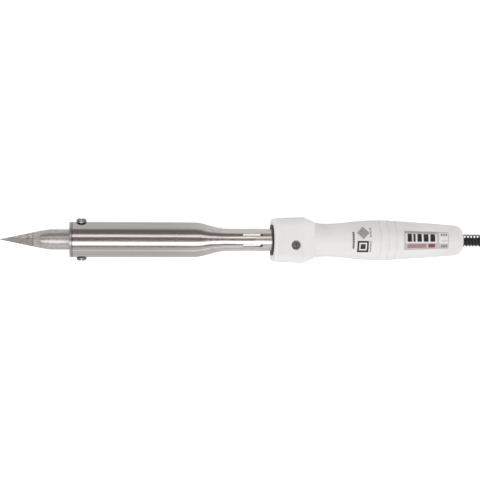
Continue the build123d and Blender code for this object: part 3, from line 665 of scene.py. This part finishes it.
def handle_finish():
    material = moulded_finish("white_handle", grey(0.77), 0.30, 0.42)
    tree = material.node_tree
    shader = tree.nodes["Principled BSDF"]
    _, x, y, z = object_axes(tree)
    along_iron = math(tree, "SUBTRACT", x, point_x)
    on_top = between(tree, z, axis_height + 1 * MM, axis_height + 3 * MM)
    row = block(tree, along_iron, y, *front_row)
    row = math(tree, "MULTIPLY", row, bars(tree, y, 0.0013, 0.78))
    far_x, far_y = away(tree, along_iron, diamond_middle[0]), away(tree, y, diamond_middle[1])
    diamond = between(tree, math(tree, "ADD", far_x, far_y), 0.0050, 0.0047)
    hatch = bars(tree, math(tree, "ADD", along_iron, y), 0.0022, 0.5)
    shaded = math(tree, "MULTIPLY", diamond, math(tree, "ADD", math(tree, "MULTIPLY", hatch, 0.5), 0.32))
    reach = math(
        tree, "MAXIMUM", away(tree, along_iron, square_middle[0]), away(tree, y, square_middle[1]),
    )
    outer = ramp_down(tree, reach, 4.4 * MM)
    gap = math(
        tree, "MULTIPLY", between(tree, reach, 1.8 * MM, 2.0 * MM), ramp_down(tree, reach, 3.0 * MM),
    )
    square = math(tree, "SUBTRACT", outer, gap, clamp=True)
    side_rows = total(
        tree, block(tree, along_iron, y, *far_row), block(tree, along_iron, y, *near_row),
    )
    side_rows = math(tree, "MULTIPLY", side_rows, bars(tree, y, 0.0011, 0.6))
    side_rows = math(tree, "MULTIPLY", side_rows, 0.75)
    ink = math(tree, "MULTIPLY", total(tree, row, shaded, square, side_rows), on_top)
    plain = shader.inputs["Base Color"].links[0].from_socket
    tree.links.new(mix(tree, ink, plain, grey(0.018)), shader.inputs["Base Color"])
    return material


# %% Printed label
label_low, label_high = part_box("rating_label")


def label_finish():
    material, tree, shader = finish("printed_label")
    place, x, y, _ = object_axes(tree)
    u = node(tree, "ShaderNodeMapRange", {
        "Value": x, "From Min": label_low.x, "From Max": label_high.x,
    }).outputs[0]
    half_width = node(tree, "ShaderNodeMapRange", {
        "Value": u, "To Min": 7.4 * MM, "To Max": 6.3 * MM,
    }).outputs[0]
    v = math(tree, "DIVIDE", y, half_width)
    edge = 0.012

    def field(u_low, u_high, v_low, v_high):
        return block(tree, u, v, u_low, u_high, v_low, v_high, edge)

    silver = mix(tree, noise(tree, stretched(tree, place, (400, 60, 60)), 1.0), grey(0.54), grey(0.42))
    white = total(tree, field(0.03, 0.73, -0.28, 0.72), field(0.78, 0.98, -0.36, 0.90))
    top_band = math(tree, "MULTIPLY", field(0.02, 0.72, 0.74, 0.96), bars(tree, u, 0.030, 0.55))
    black = total(
        tree, field(0.07, 0.17, -0.15, 0.70), field(0.20, 0.25, -0.15, 0.70),
        field(0.29, 0.39, -0.15, 0.70), field(0.43, 0.54, -0.15, 0.70), field(0.58, 0.69, -0.15, 0.70),
    )
    red = math(tree, "MULTIPLY", field(0.07, 0.50, -0.80, -0.38), bars(tree, u, 0.045, 0.80))
    deep_red = field(0.54, 0.69, -0.80, -0.38)
    small = math(
        tree, "MULTIPLY",
        total(tree, field(0.81, 0.97, 0.52, 0.80), field(0.83, 0.96, -0.84, -0.52)),
        bars(tree, u, 0.036, 0.7),
    )
    pale = field(0.83, 0.96, -0.18, 0.06)
    colour = mix(tree, white, silver, grey(0.74))
    colour = mix(tree, math(tree, "MULTIPLY", top_band, 0.55), colour, grey(0.08))
    colour = mix(tree, black, colour, grey(0.012))
    colour = mix(tree, math(tree, "MULTIPLY", red, 0.85), colour, (0.34, 0.055, 0.05, 1))
    colour = mix(tree, deep_red, colour, (0.24, 0.035, 0.035, 1))
    colour = mix(tree, math(tree, "MULTIPLY", small, 0.8), colour, grey(0.06))
    colour = mix(tree, math(tree, "MULTIPLY", pale, 0.3), colour, grey(0.20))
    tree.links.new(colour, shader.inputs["Base Color"])
    shader.inputs["Roughness"].default_value = 0.34
    return material


# %% Finishes onto the CAD pieces
stainless = stainless_finish()
turned_steel = turned_finish("turned_steel", grey(0.60, 0.015), 0.26, 0.42)
screw_steel = turned_finish("zinc_screw", grey(0.36, 0.03), 0.28, 0.45, 900)
dark_screw = turned_finish("dark_screw", grey(0.30, 0.05), 0.30, 0.5, 900)
spring_steel = turned_finish("guard_wire", grey(0.10, 0.02), 0.32, 0.46, 500)
heater_wire = turned_finish("oxidised_wire", grey(0.22, 0.04), 0.4, 0.6, 500)
brass = turned_finish("brass", (0.72, 0.53, 0.26, 1), 0.25, 0.4, 900)
black_phenolic = moulded_finish("black_phenolic", grey(0.022), 0.45, 0.6, 600, 0.7)
black_rubber = moulded_finish("black_rubber", grey(0.026), 0.42, 0.6, 1500, 0.75)
tie_nylon = moulded_finish("tie_nylon", grey(0.035), 0.35, 0.5, 700, 0.7)
ceramic = moulded_finish("steatite", (0.78, 0.75, 0.68, 1), 0.5, 0.7, 700)
mica = moulded_finish("mica", (0.50, 0.42, 0.30, 1), 0.3, 0.5, 400)
core_sleeve = moulded_finish("core_sleeve", (0.08, 0.20, 0.50, 1), 0.4, 0.5, 700)
finishes = {
    stainless: ["barrel"],
    turned_steel: ["nose_ring", "tip_tube", "neck_sleeve"],
    screw_steel: [
        "clamp_screw_left", "clamp_screw_right", "clamp_washer_left", "clamp_washer_right",
        "terminal_screws", "clamp_bar_screws",
    ],
    dark_screw: ["handle_screws"],
    spring_steel: ["guard_spring"],
    heater_wire: ["heater_winding", "heater_leads"],
    brass: ["terminals", "plug_pins"],
    handle_finish(): ["handle"],
    label_finish(): ["rating_label"],
    black_phenolic: ["neck_bush", "clamp_base", "clamp_bar"],
    black_rubber: ["cord_end", "plug_body"],
    ceramic: ["front_spacer", "rear_spacer", "lead_beads", "terminal_block"],
    mica: ["mica_sleeve", "heater_wrap"],
    core_sleeve: ["cord_cores"],
    bit_finish(): ["tip"],
}
for material, names in finishes.items():
    for name in names:
        wear(name, material)
for piece, material in ((cord_piece, black_rubber), (relief_piece, black_rubber), (tie_piece, tie_nylon)):
    piece.data.materials.clear()
    piece.data.materials.append(material)

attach(cord_piece, "iron")
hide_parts("power_cord", "cord_hank", "cord_tail")
